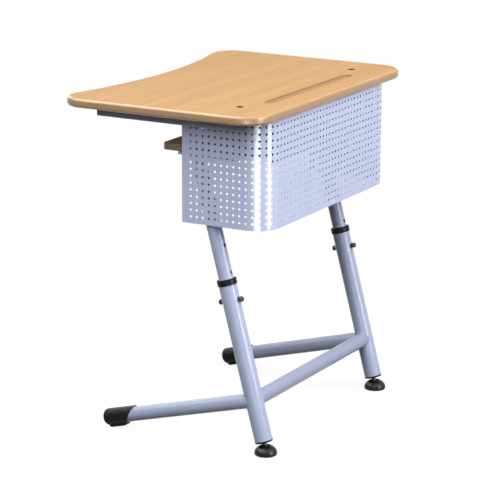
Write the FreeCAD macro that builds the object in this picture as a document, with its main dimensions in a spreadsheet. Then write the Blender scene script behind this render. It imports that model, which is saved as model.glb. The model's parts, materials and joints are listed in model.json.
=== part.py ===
import FreeCAD, Part
import math
import os
import re

import Sketcher
from FreeCAD import Placement, Rotation, Vector

# Height-adjustable school desk with one book shelf under the top.
# Frame: +Z up, the user sits at -Y, +X is the user's right, the origin is on the floor under the middle.

# Driving sizes, in millimetres and degrees
SIZES = {
    # Desk top
    "top_width": 614,
    "top_depth": 424,
    "top_height": 650,
    "top_thickness": 17.5,
    "top_edge_round": 6,
    "scoop_depth": 40.5,
    "user_corner": 29,
    "front_corner": 27,
    "groove_length": 330,
    "groove_width": 20,
    "groove_depth": 5,
    "groove_bottom_round": 4,
    "groove_inset": 58,
    # Bolts through the top and wood screws up through the rails
    "recess_depth": 7,
    "recess_clearance": 0.75,
    "bolt_inset": 23.5,
    "bolt_diameter": 6,
    "bolt_head": 10.5,
    "bolt_head_height": 3.5,
    "bolt_tail": 10,
    "bolt_clearance": 0.3,
    "screw_inset": 60,
    "screw_diameter": 4,
    "screw_head": 8,
    "screw_head_height": 2.5,
    "top_screw_cover": 7,
    "access_clearance": 1,
    # Rails under the top
    "rail_width": 40,
    "rail_height": 25,
    "rail_wall": 1.5,
    "rail_corner": 4,
    "rail_user_inset": 50.5,
    "cross_rail_size": 20,
    "cross_rail_inset": 2,
    "rail_plug_flange": 3,
    "rail_plug_depth": 12,
    "rail_plug_round": 1.5,
    # Bent perforated panel and the blocks that hold it to the rails
    "panel_side_inset": 57,
    "panel_height": 203,
    "panel_front_inset": 11,
    "panel_wing": 177.5,
    "panel_corner": 45,
    "panel_sheet": 1.2,
    "panel_top_gap": 0.5,
    "hole_size": 3.9,
    "hole_pitch": 12.75,
    "hole_rows": 15,
    "hole_edge_margin": 12,
    "hole_low_margin": 12.65,
    "tab_length": 20,
    "tab_height": 14,
    "tab_inset": 15,
    # Book shelf and the flat bars that carry it
    "book_space": 66,
    "shelf_thickness": 15,
    "shelf_depth": 234,
    "shelf_front_gap": 4,
    "shelf_side_gap": 1.5,
    "shelf_corner": 4,
    "shelf_edge_round": 3,
    "bearer_width": 20,
    "bearer_thickness": 5,
    "bearer_user_inset": 32.5,
    "bearer_front_inset": 77,
    "shelf_screw_inset": 24,
    "shelf_screw_cover": 4,
    # Telescopic legs, in stations measured along the leg from the floor
    "leg_foot_inset": 19,
    "leg_tilt": 15,
    "lower_leg_diameter": 34,
    "lower_leg_wall": 1.5,
    "lower_leg_length": 307.5,
    "upper_leg_wall": 1.5,
    "slide_clearance": 0.3,
    "height_step": 50,
    "steps_each_way": 2,
    "lock_inset": 39,
    "index_clearance": 0.5,
    "index_margin": 13.5,
    "guide_flange": 4,
    "guide_depth": 8,
    "bush_wall": 1.5,
    "bush_wing_gap": 0.8,
    "bush_skirt": 9,
    "bush_cap": 2.5,
    "bush_sleeve": 26,
    "bush_sleeve_wall": 1.2,
    "bush_round": 1.2,
    # Lock screws
    "lock_screw_diameter": 6,
    "lock_head": 10.5,
    "lock_head_height": 4.5,
    "lock_travel": 3,
    "lock_clearance": 0.3,
    "boss_wall": 2.2,
    "boss_height": 1.2,
    # Foot tubes, stretcher and caps
    "foot_tube_diameter": 28,
    "foot_tube_wall": 1.5,
    "foot_tube_reach": 332,
    "stretcher_diameter": 28,
    "stretcher_wall": 1.5,
    "cap_wall": 2.2,
    "cap_end": 5,
    "cap_end_round": 8,
    "cap_top_length": 70.5,
    "cap_bottom_length": 48,
    "cap_pad_width": 18,
    "cap_pad_length": 34.5,
    "cap_pad_inset": 9.5,
    "cap_pad_slope": 2.5,
    "cap_pad_toe": 1.6,
    "cap_pad_depth": 2.8,
    # Levelling feet
    "leg_plug_flange": 3.5,
    "leg_plug_depth": 15,
    "leg_plug_round": 1,
    "stem_diameter": 10,
    "stem_spare": 18.5,
    "stem_neck": 8,
    "stem_neck_length": 12,
    "stem_clearance": 0.3,
    "ball_diameter": 16,
    "ball_height": 10,
    "ball_clearance": 0.3,
    "pad_diameter": 43,
    "pad_height": 18,
    "pad_widest": 4,
    "pad_foot_round": 2.5,
    "pad_leg_gap": 6.1,
    "pad_throat_room": 3,
    "pad_mouth_flare": 1.2,
    "pad_rim_width": 1.3,
}

SIDES = {"right": 1, "left": -1}
TILT = "leg_tilt * 1deg"

doc = FreeCAD.newDocument("SchoolDesk")
sheet = doc.addObject("Spreadsheet::Sheet", "Sizes")
for row, (alias, size) in enumerate(SIZES.items(), start=1):
    sheet.set(f"A{row}", alias)
    sheet.set(f"B{row}", str(size))
    sheet.setAlias(f"B{row}", alias)
doc.recompute()

nodes = {}


# Expressions and placing

def bound(text):
    """The expression with every size's name pointed at the sheet."""
    return re.sub(r"[a-z]+(?:_[a-z]+)*", lambda word: f"Sizes.{word[0]}" if word[0] in SIZES else word[0], text)


def number(text):
    return float(sheet.evalExpression(bound(text)))


def bind(item, prop, text):
    item.setExpression(prop, bound(text))


def place(item, x="0", y="0", z="0", turn="0"):
    """Put an item at a point, turned about the X axis by a number of degrees."""
    item.Placement = Placement(Vector(), Rotation(Vector(1, 0, 0), number(turn)))
    bind(item, "Placement.Rotation.Angle", f"({turn}) * 1deg")
    bind(item, "Placement.Base.x", x)
    bind(item, "Placement.Base.y", y)
    bind(item, "Placement.Base.z", z)


def leg_y(station, across="0"):
    return f"(top_depth / 2 - leg_foot_inset - ({station}) * sin({TILT}) + ({across}) * cos({TILT}))"


def leg_z(station, across="0"):
    return f"(({station}) * cos({TILT}) + ({across}) * sin({TILT}))"


def on_leg(item, side, station="0", across="0", turn="0"):
    """Put an item on a leg's axis; turn 0 lies along the leg, 90 points square to it, at the user."""
    x = f"{SIDES[side]} * {LEG_X}"
    place(item, x, leg_y(station, across), leg_z(station, across), f"leg_tilt + {turn}")


def keep(name, item):
    item.Label = name
    nodes[name] = item
    return item


# Sketches and features

def new_body(name):
    return doc.addObject("PartDesign::Body", name + "_body")


def new_sketch(body, role, offset="0"):
    sketch = body.newObject("Sketcher::SketchObject", "sketch")
    plane = next(item for item in body.Origin.OriginFeatures if item.Role == role)
    sketch.AttachmentSupport = [(plane, "")]
    sketch.MapMode = "FlatFace"
    bind(sketch, "AttachmentOffset.Base.z", offset)
    return sketch


def add_bound(sketch, constraint, text):
    index = sketch.addConstraint(constraint)
    bind(sketch, f"Constraints[{index}]", text)


def arc_between(start, end, radius, turn):
    """The short arc between two points: turn is 1 anticlockwise, -1 clockwise."""
    chord = end - start
    height = math.sqrt(max(radius ** 2 - chord.Length ** 2 / 4, 0))
    normal = Vector(-chord.y, chord.x, 0).normalize() * (turn * height)
    centre = (start + end) / 2 + normal
    first, last = (start, end) if turn > 0 else (end, start)
    angles = [math.atan2(point.y - centre.y, point.x - centre.x) for point in (first, last)]
    return Part.ArcOfCircle(Part.Circle(centre, Vector(0, 0, 1), radius), *angles)


def outline(sketch, corners):
    """A closed outline. A corner is (x, y), or (x, y, radius, turn) where an arc leaves it for the next."""
    first = sketch.GeometryCount
    points = [Vector(number(corner[0]), number(corner[1]), 0) for corner in corners]
    ends = []
    for index, corner in enumerate(corners):
        start, end = points[index], points[(index + 1) % len(points)]
        if len(corner) == 2:
            sketch.addGeometry(Part.LineSegment(start, end), False)
            ends.append((1, 2))
        else:
            sketch.addGeometry(arc_between(start, end, number(corner[2]), corner[3]), False)
            ends.append((1, 2) if corner[3] > 0 else (2, 1))
    for index, corner in enumerate(corners):
        after = (index + 1) % len(corners)
        joint = (first + index, ends[index][1], first + after, ends[after][0])
        sketch.addConstraint(Sketcher.Constraint("Coincident", *joint))
    for index, corner in enumerate(corners):
        vertex = (-1, 1, first + index, ends[index][0])
        add_bound(sketch, Sketcher.Constraint("DistanceX", *vertex, points[index].x), corner[0])
        add_bound(sketch, Sketcher.Constraint("DistanceY", *vertex, points[index].y), corner[1])
        if len(corner) == 4:
            add_bound(sketch, Sketcher.Constraint("Radius", first + index, number(corner[2])), corner[2])


def ring(sketch, diameter, x="0", y="0"):
    """A full circle."""
    circle = Part.Circle(Vector(number(x), number(y), 0), Vector(0, 0, 1), number(diameter) / 2)
    index = sketch.addGeometry(circle, False)
    add_bound(sketch, Sketcher.Constraint("DistanceX", -1, 1, index, 3, number(x)), x)
    add_bound(sketch, Sketcher.Constraint("DistanceY", -1, 1, index, 3, number(y)), y)
    add_bound(sketch, Sketcher.Constraint("Diameter", index, number(diameter)), diameter)


def rectangle(sketch, width, height, corner):
    """A rectangle with round corners, centred on the sketch's origin."""
    right, top = f"({width}) / 2", f"({height}) / 2"
    inner, high = f"({right} - ({corner}))", f"({top} - ({corner}))"
    outline(sketch, [
        (right, f"-{high}"),
        (right, high, corner, 1),
        (inner, top),
        (f"-{inner}", top, corner, 1),
        (f"-{right}", high),
        (f"-{right}", f"-{high}", corner, 1),
        (f"-{inner}", f"-{top}"),
        (inner, f"-{top}", corner, 1),
    ])


def pad(body, sketch, length, both_ways=False):
    feature = body.newObject("PartDesign::Pad", "pad")
    feature.Profile = sketch
    bind(feature, "Length", length)
    feature.SideType = "Symmetric" if both_ways else "One side"
    doc.recompute()
    return feature


def pocket(body, sketch, depth=None, both_ways=False, reverse=False):
    """Cut a sketch into a body, right through where no depth is given."""
    before = body.Shape.Volume
    feature = body.newObject("PartDesign::Pocket", "pocket")
    feature.Profile = sketch
    feature.Reversed = reverse
    feature.SideType = "Symmetric" if both_ways else "One side"
    if depth is None:
        feature.Type = "ThroughAll"
    else:
        bind(feature, "Length", depth)
    doc.recompute()
    if body.Shape.Volume >= before:
        raise RuntimeError(f"{body.Name}: a pocket removes nothing")
    return feature


def revolve(body, sketch):
    feature = body.newObject("PartDesign::Revolution", "turned")
    feature.Profile = sketch
    feature.ReferenceAxis = (sketch, ["V_Axis"])
    feature.Angle = 360
    doc.recompute()
    return feature


def round_edges(body, base, radius, wanted):
    """Fillet the edges of the feature that the test wanted(edge) picks."""
    names = [f"Edge{index}" for index, edge in enumerate(base.Shape.Edges, start=1) if wanted(edge)]
    feature = body.newObject("PartDesign::Fillet", "rounded")
    feature.Base = (base, names)
    bind(feature, "Radius", radius)
    doc.recompute()
    return feature


def at_height(value):
    """A test for edges that lie flat at a height in the body's own frame."""
    return lambda edge: edge.BoundBox.ZLength < 1e-6 and abs(edge.BoundBox.ZMin - value) < 1e-6


def turned(name, profile):
    """A body turned about its own Z axis from (radius, height) corners."""
    body = new_body(name)
    sketch = new_sketch(body, "XZ_Plane")
    outline(sketch, profile)
    revolve(body, sketch)
    return body


# Round bars, cuts and groups

def bar(name, diameter, length):
    item = doc.addObject("Part::Cylinder", name)
    bind(item, "Radius", f"({diameter}) / 2")
    bind(item, "Height", length)
    return item


def cut(name, base, tools):
    item = doc.addObject("Part::Cut", name)
    item.Base = base
    item.Tool = tools[0] if len(tools) == 1 else fuse(name + "_tools", tools)
    return item


def fuse(name, items):
    item = doc.addObject("Part::MultiFuse", name)
    item.Shapes = items
    return item


def group(name, items):
    item = doc.addObject("Part::Compound", name + "_group")
    item.Links = items
    return keep(name, item)


# Places that several pieces share
HALF_DEPTH = "top_depth / 2"
TOP_UNDERSIDE = "(top_height - top_thickness)"
PANEL_FRONT = f"({HALF_DEPTH} - panel_front_inset)"
PANEL_HALF = "(top_width / 2 - panel_side_inset)"
PANEL_INSIDE = f"({PANEL_HALF} - panel_sheet)"
PANEL_BOTTOM = f"({TOP_UNDERSIDE} - panel_top_gap - panel_height)"
BEND_X = f"({PANEL_HALF} - panel_corner)"
BEND_Y = f"({PANEL_FRONT} - panel_corner)"
WING_END = f"({PANEL_FRONT} - panel_wing)"
LOWER_BORE = "(lower_leg_diameter - 2 * lower_leg_wall)"
UPPER_LEG = f"({LOWER_BORE} - 2 * bush_sleeve_wall - 2 * slide_clearance)"
BUSH = "(lower_leg_diameter + 2 * bush_wall)"
LEG_X = f"({PANEL_INSIDE} - bush_wing_gap - {BUSH} / 2)"
LEG_INSIDE = f"({LEG_X} - {UPPER_LEG} / 2)"
RAIL_OUTSIDE = f"({LEG_X} + {UPPER_LEG} / 2)"
RAIL_X = f"({RAIL_OUTSIDE} - rail_width / 2)"
RAIL_USER_END = f"(rail_user_inset - {HALF_DEPTH})"
RAIL_FRONT_END = f"({PANEL_FRONT} - panel_corner - rail_plug_flange)"
RAIL_BOTTOM = f"({TOP_UNDERSIDE} - rail_height)"
RAIL_BORE = ("rail_width - 2 * rail_wall", "rail_height - 2 * rail_wall", "rail_corner - rail_wall")
BOLT_Y = f"({RAIL_FRONT_END} - bolt_inset)"
SCREW_Y = f"({RAIL_USER_END} + screw_inset)"
SHELF_TOP = f"({TOP_UNDERSIDE} - book_space)"
SHELF_BOTTOM = f"({SHELF_TOP} - shelf_thickness)"
SHELF_FRONT = f"({PANEL_FRONT} - panel_sheet - shelf_front_gap)"
SHELF_HALF = f"({LEG_INSIDE} - shelf_side_gap)"
LEG_START = f"((pad_height + pad_leg_gap) / cos({TILT}) + leg_plug_flange)"
LEG_TOP = f"({LEG_START} + lower_leg_length)"
LOCK_STATION = f"({LEG_TOP} - lock_inset)"
STEP = f"(height_step / cos({TILT}))"
UPPER_START = f"({LOCK_STATION} - steps_each_way * {STEP} - index_margin)"
LOCK_HOLE = "(lock_screw_diameter + 2 * lock_clearance)"
BALL_STATION = f"(ball_height / cos({TILT}))"
CAP_RADIUS = "(foot_tube_diameter / 2 + cap_wall)"
CAP_END = "(foot_tube_reach + cap_end)"
CAP_PAD_END = f"({CAP_END} - cap_pad_inset)"
FOOT_STATION = f"({CAP_PAD_END} * tan({TILT}) + {CAP_RADIUS} + cap_pad_toe)"


# Desk top

def desk_top_outline():
    """Straight front and sides, scooped user edge and round corners, all tangent."""
    half, deep = "top_width / 2", HALF_DEPTH
    run = f"({half} - user_corner)"
    scoop = f"(({run}^2 / scoop_depth + scoop_depth) / 2 - user_corner)"
    share = f"({scoop} / ({scoop} + user_corner))"
    scoop_x = f"{run} * {share}"
    scoop_y = f"(scoop_depth - {deep} - {scoop} + (user_corner - scoop_depth + {scoop}) * {share})"
    front_run = f"({half} - front_corner)"
    side_front = f"{deep} - front_corner"
    side_user = f"user_corner - {deep}"
    return [
        (front_run, deep),
        (f"-{front_run}", deep, "front_corner", 1),
        (f"-{half}", side_front),
        (f"-{half}", side_user, "user_corner", 1),
        (f"-{scoop_x}", scoop_y, scoop, -1),
        (scoop_x, scoop_y, "user_corner", 1),
        (half, side_user),
        (half, side_front, "front_corner", 1),
    ]


def make_desk_top():
    body = new_body("desk_top")
    sketch = new_sketch(body, "XY_Plane", TOP_UNDERSIDE)
    outline(sketch, desk_top_outline())
    board = pad(body, sketch, "top_thickness")
    upper, lower = at_height(number("top_height")), at_height(number(TOP_UNDERSIDE))
    round_edges(body, board, "min(top_edge_round; 0.45 * top_thickness)", lambda edge: upper(edge) or lower(edge))

    groove = new_sketch(body, "XY_Plane", "top_height")
    reach, half = "(groove_length - groove_width) / 2", "groove_width / 2"
    near, far = f"{HALF_DEPTH} - groove_inset - {half}", f"{HALF_DEPTH} - groove_inset + {half}"
    middle = f"{HALF_DEPTH} - groove_inset"
    outline(groove, [
        (f"-{reach}", near),
        (reach, near, half, 1),
        (f"{reach} + {half}", middle, half, 1),
        (reach, far),
        (f"-{reach}", far, half, 1),
        (f"-{reach} - {half}", middle, half, 1),
    ])
    trough = pocket(body, groove, "groove_depth")
    bottom = at_height(number("top_height - groove_depth"))
    round_edges(body, trough, "min(groove_bottom_round; 0.9 * groove_depth)", bottom)

    recess = new_sketch(body, "XY_Plane", "top_height")
    passage = new_sketch(body, "XY_Plane", "top_height")
    pilot = new_sketch(body, "XY_Plane", TOP_UNDERSIDE)
    for side in SIDES.values():
        x = f"{side} * {RAIL_X}"
        ring(recess, "bolt_head + 2 * recess_clearance", x, BOLT_Y)
        ring(passage, "bolt_diameter + 2 * bolt_clearance", x, BOLT_Y)
        ring(pilot, "screw_diameter", x, SCREW_Y)
    pocket(body, recess, "recess_depth")
    pocket(body, passage)
    pocket(body, pilot, "top_thickness - top_screw_cover", reverse=True)
    keep("desk_top", body)


# Rails, their end plugs and the cross rail

def make_rail(side):
    """A rail lies under the top, flush with the leg's outer side; its own Z axis points at the user."""
    body = new_body(f"rail_{side}")
    length = f"({RAIL_FRONT_END} - {RAIL_USER_END})"
    section = new_sketch(body, "XY_Plane")
    rectangle(section, "rail_width", "rail_height", "rail_corner")
    pad(body, section, length)
    bore = new_sketch(body, "XY_Plane", length)
    rectangle(bore, *RAIL_BORE)
    pocket(body, bore)
    bolt_hole = new_sketch(body, "XZ_Plane", "-rail_height / 2")
    ring(bolt_hole, "bolt_diameter", "0", f"{RAIL_FRONT_END} - {BOLT_Y}")
    pocket(body, bolt_hole, "2 * rail_wall", reverse=True)
    screw_hole = new_sketch(body, "XZ_Plane", "-rail_height / 2")
    ring(screw_hole, "screw_diameter", "0", f"{RAIL_FRONT_END} - {SCREW_Y}")
    pocket(body, screw_hole, "2 * rail_wall", reverse=True)
    access = new_sketch(body, "XZ_Plane", "rail_height / 2 - 2 * rail_wall")
    ring(access, "screw_head + 2 * access_clearance", "0", f"{RAIL_FRONT_END} - {SCREW_Y}")
    pocket(body, access, "2 * rail_wall", reverse=True)
    place(body, f"{SIDES[side]} * {RAIL_X}", RAIL_FRONT_END, f"{TOP_UNDERSIDE} - rail_height / 2", "90")
    keep(f"rail_{side}", body)


def make_rail_plug(side, end):
    """A flanged plug; its own Z axis points at the user, and the flange is outside the tube."""
    body = new_body(f"rail_plug_{side}_{end}")
    outwards = end == "user"
    flange = new_sketch(body, "XY_Plane", "0" if outwards else "-rail_plug_flange")
    rectangle(flange, "rail_width", "rail_height", "rail_corner")
    plate = pad(body, flange, "rail_plug_flange")
    rim = number("rail_plug_flange") if outwards else -number("rail_plug_flange")
    round_edges(body, plate, "rail_plug_round", at_height(rim))
    insert = new_sketch(body, "XY_Plane", "-rail_plug_depth" if outwards else "0")
    rectangle(insert, *RAIL_BORE)
    pad(body, insert, "rail_plug_depth")
    y = RAIL_USER_END if outwards else RAIL_FRONT_END
    place(body, f"{SIDES[side]} * {RAIL_X}", y, f"{TOP_UNDERSIDE} - rail_height / 2", "90")
    keep(f"rail_plug_{side}_{end}", body)


def make_cross_rail():
    """A square tube between the rails, drawn in section on the body's YZ plane."""
    body = new_body("cross_rail")
    span = f"2 * ({RAIL_X} - rail_width / 2)"
    section = new_sketch(body, "YZ_Plane")
    rectangle(section, "cross_rail_size", "cross_rail_size", "rail_corner")
    pad(body, section, span, both_ways=True)
    bore = new_sketch(body, "YZ_Plane")
    inside = "cross_rail_size - 2 * rail_wall"
    rectangle(bore, inside, inside, "rail_corner - rail_wall")
    pocket(body, bore, span, both_ways=True)
    y = f"{RAIL_FRONT_END} - cross_rail_inset - cross_rail_size / 2"
    place(body, y=y, z=f"{TOP_UNDERSIDE} - cross_rail_size / 2")
    keep("cross_rail", body)


# Bent perforated panel

def make_panel():
    """One sheet bent round three sides, with a wing along each rail and rows of holes all over."""
    body = new_body("perforated_panel")
    sketch = new_sketch(body, "XY_Plane", PANEL_BOTTOM)
    outside, inside = PANEL_HALF, PANEL_INSIDE
    front, back = PANEL_FRONT, f"{PANEL_FRONT} - panel_sheet"
    tight = "panel_corner - panel_sheet"
    outline(sketch, [
        (outside, WING_END),
        (outside, BEND_Y, "panel_corner", 1),
        (BEND_X, front),
        (f"-{BEND_X}", front, "panel_corner", 1),
        (f"-{outside}", BEND_Y),
        (f"-{outside}", WING_END),
        (f"-{inside}", WING_END),
        (f"-{inside}", BEND_Y, tight, -1),
        (f"-{BEND_X}", back),
        (BEND_X, back, tight, -1),
        (inside, BEND_Y),
        (inside, WING_END),
    ])
    pad(body, sketch, "panel_height")
    keep("perforated_panel", cut("perforated_sheet", body, [panel_holes()]))


def panel_holes():
    """Square punches, an even pitch apart along the sheet, out from the middle of the front, and up it."""
    size, pitch, reach = number("hole_size"), number("hole_pitch"), 2 * number("panel_sheet")
    bend_x, bend_y, corner = number(BEND_X), number(BEND_Y), number("panel_corner")
    middle = corner - number("panel_sheet") / 2
    bend_end = bend_x + middle * math.pi / 2
    last = bend_end + number(f"{BEND_Y} - {WING_END} - hole_edge_margin")
    low = number(f"{PANEL_BOTTOM} + hole_low_margin")
    punches = []
    for column in range(int(last / pitch + 0.5)):
        along = (column + 0.5) * pitch
        angle = min(max((along - bend_x) / middle, 0), math.pi / 2)
        x = min(along, bend_x) + corner * math.sin(angle)
        y = bend_y + corner * math.cos(angle) - max(along - bend_end, 0)
        for sign in SIDES.values():
            turn = Rotation(Vector(0, 0, 1), -sign * math.degrees(angle))
            for row in range(int(SIZES["hole_rows"])):
                punch = Part.makeBox(size, 2 * reach, size, Vector(-size / 2, -reach, -size / 2))
                punch.Placement = Placement(Vector(sign * x, y, low + row * pitch), turn)
                punches.append(punch)
    item = doc.addObject("Part::Feature", "panel_holes")
    item.Shape = Part.makeCompound(punches)
    return item


def make_panel_tabs(side):
    """Two blocks between a wing and the rail beside it, welded to both."""
    x = RAIL_OUTSIDE if SIDES[side] > 0 else f"-{PANEL_INSIDE}"
    places = {"front": f"{RAIL_FRONT_END} - tab_inset - tab_length", "user": f"{WING_END} + tab_inset"}
    tabs = []
    for end, y in places.items():
        tab = doc.addObject("Part::Box", f"panel_tab_{side}_{end}")
        bind(tab, "Length", f"{PANEL_INSIDE} - {RAIL_OUTSIDE}")
        bind(tab, "Width", "tab_length")
        bind(tab, "Height", "tab_height")
        place(tab, x, y, f"{TOP_UNDERSIDE} - (rail_height + tab_height) / 2")
        tabs.append(tab)
    group(f"panel_tabs_{side}", tabs)


# Book shelf and its bearers

def make_shelf():
    body = new_body("book_shelf")
    sketch = new_sketch(body, "XY_Plane", SHELF_BOTTOM)
    half, front = SHELF_HALF, SHELF_FRONT
    user = f"{SHELF_FRONT} - shelf_depth"
    outline(sketch, [
        (half, f"{user} + shelf_corner"),
        (half, front),
        (f"-{half}", front),
        (f"-{half}", f"{user} + shelf_corner", "shelf_corner", 1),
        (f"-{half} + shelf_corner", user),
        (f"{half} - shelf_corner", user, "shelf_corner", 1),
    ])
    board = pad(body, sketch, "shelf_thickness")
    upper, lower = at_height(number(SHELF_TOP)), at_height(number(SHELF_BOTTOM))
    round_edges(body, board, "shelf_edge_round", lambda edge: upper(edge) or lower(edge))
    pilot = new_sketch(body, "XY_Plane", SHELF_BOTTOM)
    for x, y in shelf_screw_places():
        ring(pilot, "screw_diameter", x, y)
    pocket(body, pilot, "shelf_thickness - shelf_screw_cover", reverse=True)
    keep("book_shelf", body)


BEARER_USER = f"({SHELF_FRONT} - shelf_depth + bearer_user_inset)"
BEARER_FRONT = f"({SHELF_FRONT} - bearer_front_inset)"


def shelf_screw_places():
    x = f"({LEG_INSIDE} - bearer_width / 2)"
    return [(f"{side} * {x}", y) for side in SIDES.values()
            for y in (f"{BEARER_USER} + shelf_screw_inset", f"{BEARER_FRONT} - shelf_screw_inset")]


def make_bearer(side):
    """A flat bar under the shelf, welded by its edge to the inner side of the leg."""
    body = new_body(f"shelf_bearer_{side}")
    sign = SIDES[side]
    section = new_sketch(body, "XY_Plane")
    edge, toe = f"{sign} * {LEG_INSIDE}", f"{sign} * ({LEG_INSIDE} - bearer_width)"
    corners = [
        (toe, "-bearer_thickness"),
        (edge, "-bearer_thickness"),
        (edge, "0"),
        (toe, "0"),
    ]
    outline(section, corners if sign > 0 else corners[::-1])
    pad(body, section, f"{BEARER_FRONT} - {BEARER_USER}")
    holes = new_sketch(body, "XZ_Plane")
    for inset in ("shelf_screw_inset", f"{BEARER_FRONT} - {BEARER_USER} - shelf_screw_inset"):
        ring(holes, "screw_diameter", f"{sign} * ({LEG_INSIDE} - bearer_width / 2)", inset)
    pocket(body, holes, "2 * bearer_thickness", both_ways=True)
    place(body, y=BEARER_FRONT, z=SHELF_BOTTOM, turn="90")
    keep(f"shelf_bearer_{side}", body)


# Screws and bolts with plain round heads

def headed(name, shank, length, head, head_height, flip=1):
    """A screw along its own Z axis: the head stands on z = 0, outwards when flip is 1."""
    rim = f"{flip} * {head_height} / 2"
    crown = f"{flip} * {head_height}"
    profile = [
        ("0", f"{flip} * -({length})"),
        (f"({shank}) / 2", f"{flip} * -({length})"),
        (f"({shank}) / 2", "0"),
        (f"({head}) / 2", "0"),
        (f"({head}) / 2", rim),
        (f"({head}) / 4", crown),
        ("0", crown),
    ]
    return turned(name, profile if flip > 0 else profile[::-1])


def make_fasteners():
    bolts = []
    screws = []
    for side, sign in SIDES.items():
        x = f"{sign} * {RAIL_X}"
        length = "top_thickness - recess_depth + bolt_tail"
        bolt = headed(f"top_bolt_{side}", "bolt_diameter", length, "bolt_head", "bolt_head_height")
        place(bolt, x, BOLT_Y, "top_height - recess_depth")
        bolts.append(bolt)
        length = "rail_wall + top_thickness - top_screw_cover"
        screw = headed(f"top_screw_{side}", "screw_diameter", length, "screw_head", "screw_head_height", -1)
        place(screw, x, SCREW_Y, f"{TOP_UNDERSIDE} - rail_wall")
        screws.append(screw)
    group("top_bolts", bolts)
    group("top_screws", screws)
    shelf_screws = []
    for index, (x, y) in enumerate(shelf_screw_places()):
        length = "bearer_thickness + shelf_thickness - shelf_screw_cover"
        name = f"shelf_screw_{index}"
        screw = headed(name, "screw_diameter", length, "screw_head", "screw_head_height", -1)
        place(screw, x, y, f"{SHELF_BOTTOM} - bearer_thickness")
        shelf_screws.append(screw)
    group("shelf_screws", shelf_screws)


# Telescopic legs

def make_lower_leg(side):
    name = f"lower_leg_{side}"
    outer = bar(name + "_outer", "lower_leg_diameter", "lower_leg_length")
    on_leg(outer, side, LEG_START)
    bore = bar(name + "_bore", LOWER_BORE, "lower_leg_length")
    on_leg(bore, side, LEG_START)
    hole = bar(name + "_lock_hole", LOCK_HOLE, "2 * lower_leg_diameter")
    on_leg(hole, side, LOCK_STATION, "lower_leg_diameter", "90")
    keep(name, cut(name + "_tube", outer, [bore, hole]))


def make_upper_leg(side):
    """The inner tube: a row of index holes, and a level cut where it meets the rail."""
    name = f"upper_leg_{side}"
    length = f"{RAIL_BOTTOM} / cos({TILT}) + {UPPER_LEG} - {UPPER_START}"
    outer = bar(name + "_outer", UPPER_LEG, length)
    on_leg(outer, side, UPPER_START)
    bore = bar(name + "_bore", f"{UPPER_LEG} - 2 * upper_leg_wall", length)
    on_leg(bore, side, UPPER_START)
    level = doc.addObject("Part::Box", name + "_level")
    for prop in ("Length", "Width", "Height"):
        bind(level, prop, f"4 * {UPPER_LEG}")
    meet = leg_y(f"{RAIL_BOTTOM} / cos({TILT})")
    place(level, f"{SIDES[side]} * {LEG_X} - 2 * {UPPER_LEG}", f"{meet} - 2 * {UPPER_LEG}", RAIL_BOTTOM)
    tools = [bore, level]
    steps = int(SIZES["steps_each_way"])
    for step in range(-steps, steps + 1):
        index_hole = "lock_screw_diameter + 2 * index_clearance"
        hole = bar(f"{name}_index_{step + steps}", index_hole, f"2 * {UPPER_LEG}")
        on_leg(hole, side, f"{LOCK_STATION} + {step} * {STEP}", UPPER_LEG, "90")
        tools.append(hole)
    keep(name, cut(name + "_tube", outer, tools))


def make_leg_guide(side):
    """A plug in the upper leg's lower end that runs in the lower leg's bore."""
    inner, runner = f"{UPPER_LEG} / 2 - upper_leg_wall", f"{LOWER_BORE} / 2 - slide_clearance"
    body = turned(f"leg_guide_{side}", [
        ("0", "-guide_flange"),
        (runner, "-guide_flange"),
        (runner, "0"),
        (inner, "0"),
        (inner, "guide_depth"),
        ("0", "guide_depth"),
    ])
    on_leg(body, side, UPPER_START)
    keep(f"leg_guide_{side}", body)


def make_leg_bush(side):
    """A cap over the lower leg's top end, with a sleeve that lines the tube round the upper leg."""
    tube, bore = "lower_leg_diameter / 2", f"{LOWER_BORE} / 2"
    lining, outside = f"{UPPER_LEG} / 2 + slide_clearance", f"{BUSH} / 2"
    rounding = "min(bush_round; 0.8 * bush_wall)"
    body = turned(f"leg_bush_{side}", [
        (lining, "-bush_sleeve"),
        (bore, "-bush_sleeve"),
        (bore, "0"),
        (tube, "0"),
        (tube, "-bush_skirt"),
        (f"{outside} - {rounding}", "-bush_skirt", rounding, 1),
        (outside, f"{rounding} - bush_skirt"),
        (outside, f"bush_cap - {rounding}", rounding, 1),
        (f"{outside} - {rounding}", "bush_cap"),
        (lining, "bush_cap"),
    ])
    on_leg(body, side, LEG_TOP)
    keep(f"leg_bush_{side}", body)


def make_lock_bosses(side):
    """Two round nuts, coped to the tube, where the lock screws go in."""
    rise = "(lower_leg_diameter / 2 + boss_height)"
    bosses = []
    for end, across in (("front", rise), ("user", "0")):
        name = f"lock_boss_{side}_{end}"
        solid = bar(name + "_round", f"{LOCK_HOLE} + 2 * boss_wall", rise)
        on_leg(solid, side, LOCK_STATION, across, "90")
        bore = bar(name + "_bore", LOCK_HOLE, rise)
        on_leg(bore, side, LOCK_STATION, across, "90")
        tube = bar(name + "_tube", "lower_leg_diameter", "lower_leg_length")
        on_leg(tube, side, LEG_START)
        bosses.append(cut(name, solid, [bore, tube]))
    group(f"lock_bosses_{side}", bosses)


def make_lock_screw(side, end):
    """At rest the tip stands just clear of the upper leg, so the leg can slide."""
    tip = f"({UPPER_LEG} / 2 + lock_clearance)"
    seat = "(lower_leg_diameter / 2 + boss_height + lock_clearance + lock_travel)"
    flip = 1 if end == "user" else -1
    body = headed(f"lock_screw_{side}_{end}", "lock_screw_diameter", f"{seat} - {tip}",
                  "lock_head", "lock_head_height", flip)
    on_leg(body, side, LOCK_STATION, f"{-flip} * {seat}", "90")
    keep(f"lock_screw_{side}_{end}", body)


# Foot tubes, stretcher and foot caps

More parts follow.
